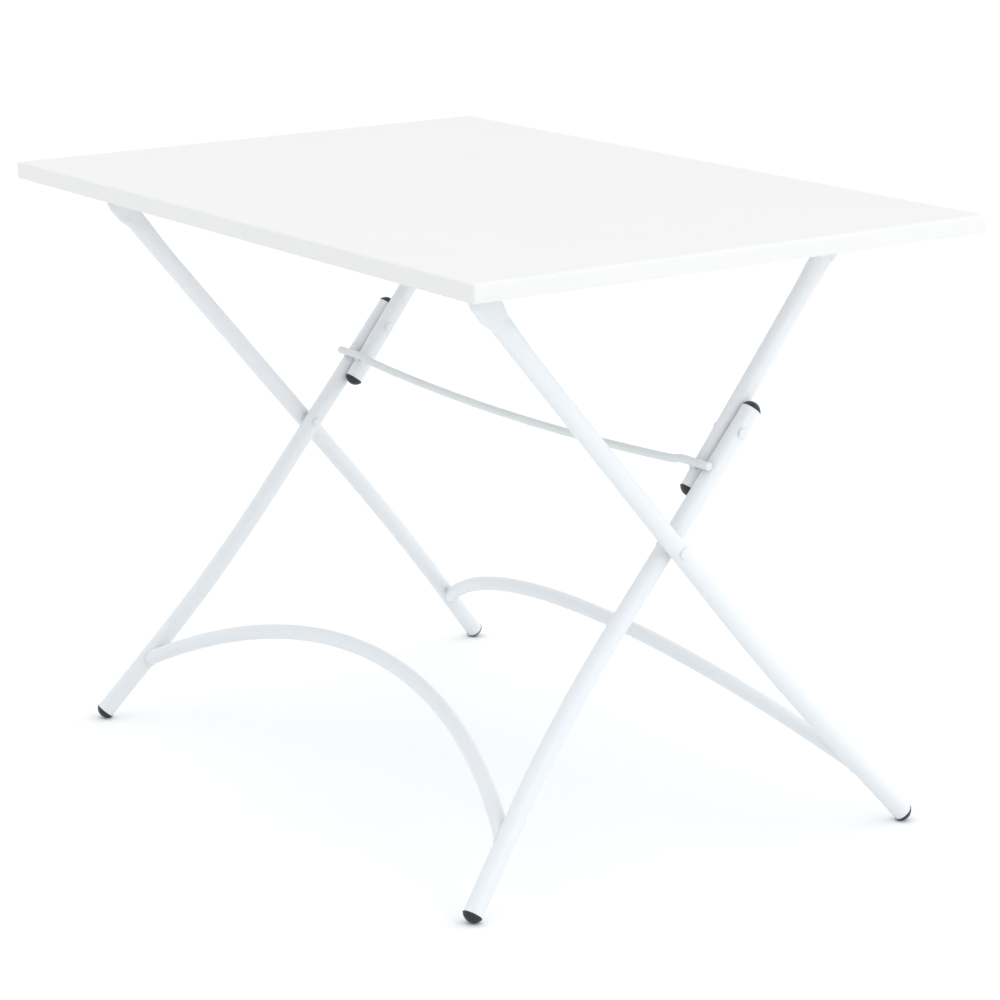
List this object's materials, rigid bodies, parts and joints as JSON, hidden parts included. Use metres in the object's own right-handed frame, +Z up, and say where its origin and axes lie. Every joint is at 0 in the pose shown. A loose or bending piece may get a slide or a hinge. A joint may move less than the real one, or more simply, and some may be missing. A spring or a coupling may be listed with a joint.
{
  "type": "folding table",
  "caption": "Rectangular folding garden table: pressed steel top with a turned-down skirt on a scissor frame of round tube with curved cross tubes, knee struts and a stop bar",
  "frame": {"origin": "on the floor, under the centre of the table top, in the open table", "axes": "+Z up, +Y along the long side of the top, +X along the short side, from the edge where the outer legs are hinged to the edge where the struts are hinged"},
  "size_m": [0.7, 1.08, 0.74],
  "materials": {
    "top_sheet": "satin",
    "frame_tube": "semi-gloss",
    "fasteners": "semi-gloss",
    "black_caps": "satin"
  },
  "bodies": {
    "top": {"table_top": "top_sheet", "outer_bracket_a": "frame_tube", "outer_bracket_b": "frame_tube", "strut_bracket_a": "frame_tube", "strut_bracket_b": "frame_tube", "outer_top_rivet_a": "fasteners", "outer_top_rivet_b": "fasteners", "strut_top_rivet_a": "fasteners", "strut_top_rivet_b": "fasteners"},
    "outer_frame": {"outer_leg_a": "frame_tube", "outer_leg_b": "frame_tube", "outer_arch": "frame_tube", "outer_foot_a": "black_caps", "outer_foot_b": "black_caps", "cross_rivet_a": "fasteners", "cross_rivet_b": "fasteners", "cross_washer_a": "fasteners", "cross_washer_b": "fasteners"},
    "middle_frame": {"middle_leg_a": "frame_tube", "middle_leg_b": "frame_tube", "middle_arch": "frame_tube", "middle_foot_a": "black_caps", "middle_foot_b": "black_caps", "middle_end_cap_a": "black_caps", "middle_end_cap_b": "black_caps", "knee_rivet_outer_a": "fasteners", "knee_rivet_outer_b": "fasteners"},
    "strut_frame": {"strut_a": "frame_tube", "strut_b": "frame_tube", "strut_end_cap_a": "black_caps", "strut_end_cap_b": "black_caps", "stop_bar": "frame_tube", "knee_rivet_inner_a": "fasteners", "knee_rivet_inner_b": "fasteners", "knee_washer_a": "fasteners", "knee_washer_b": "fasteners"}
  },
  "joints": [
    {"name": "outer_fold", "type": "hinge", "parent": "top", "child": "outer_frame", "pos_m": [-0.27286, 0, 0.704], "axis": [0, -1, 0], "range_deg": [0, 44.61]},
    {"name": "cross_fold", "type": "hinge", "parent": "outer_frame", "child": "middle_frame", "pos_m": [0, 0, 0.373], "axis": [0, -1, 0], "range_deg": [0, 74.7]},
    {"name": "strut_fold", "type": "hinge", "parent": "top", "child": "strut_frame", "pos_m": [0.26288, 0, 0.704], "axis": [0, 1, 0], "range_deg": [0, 49.16]}
  ],
  "couplings": [
    {"joint": "cross_fold", "follows": "outer_fold", "ratio": 1.6747},
    {"joint": "strut_fold", "follows": "outer_fold", "ratio": 1.102}
  ]
}
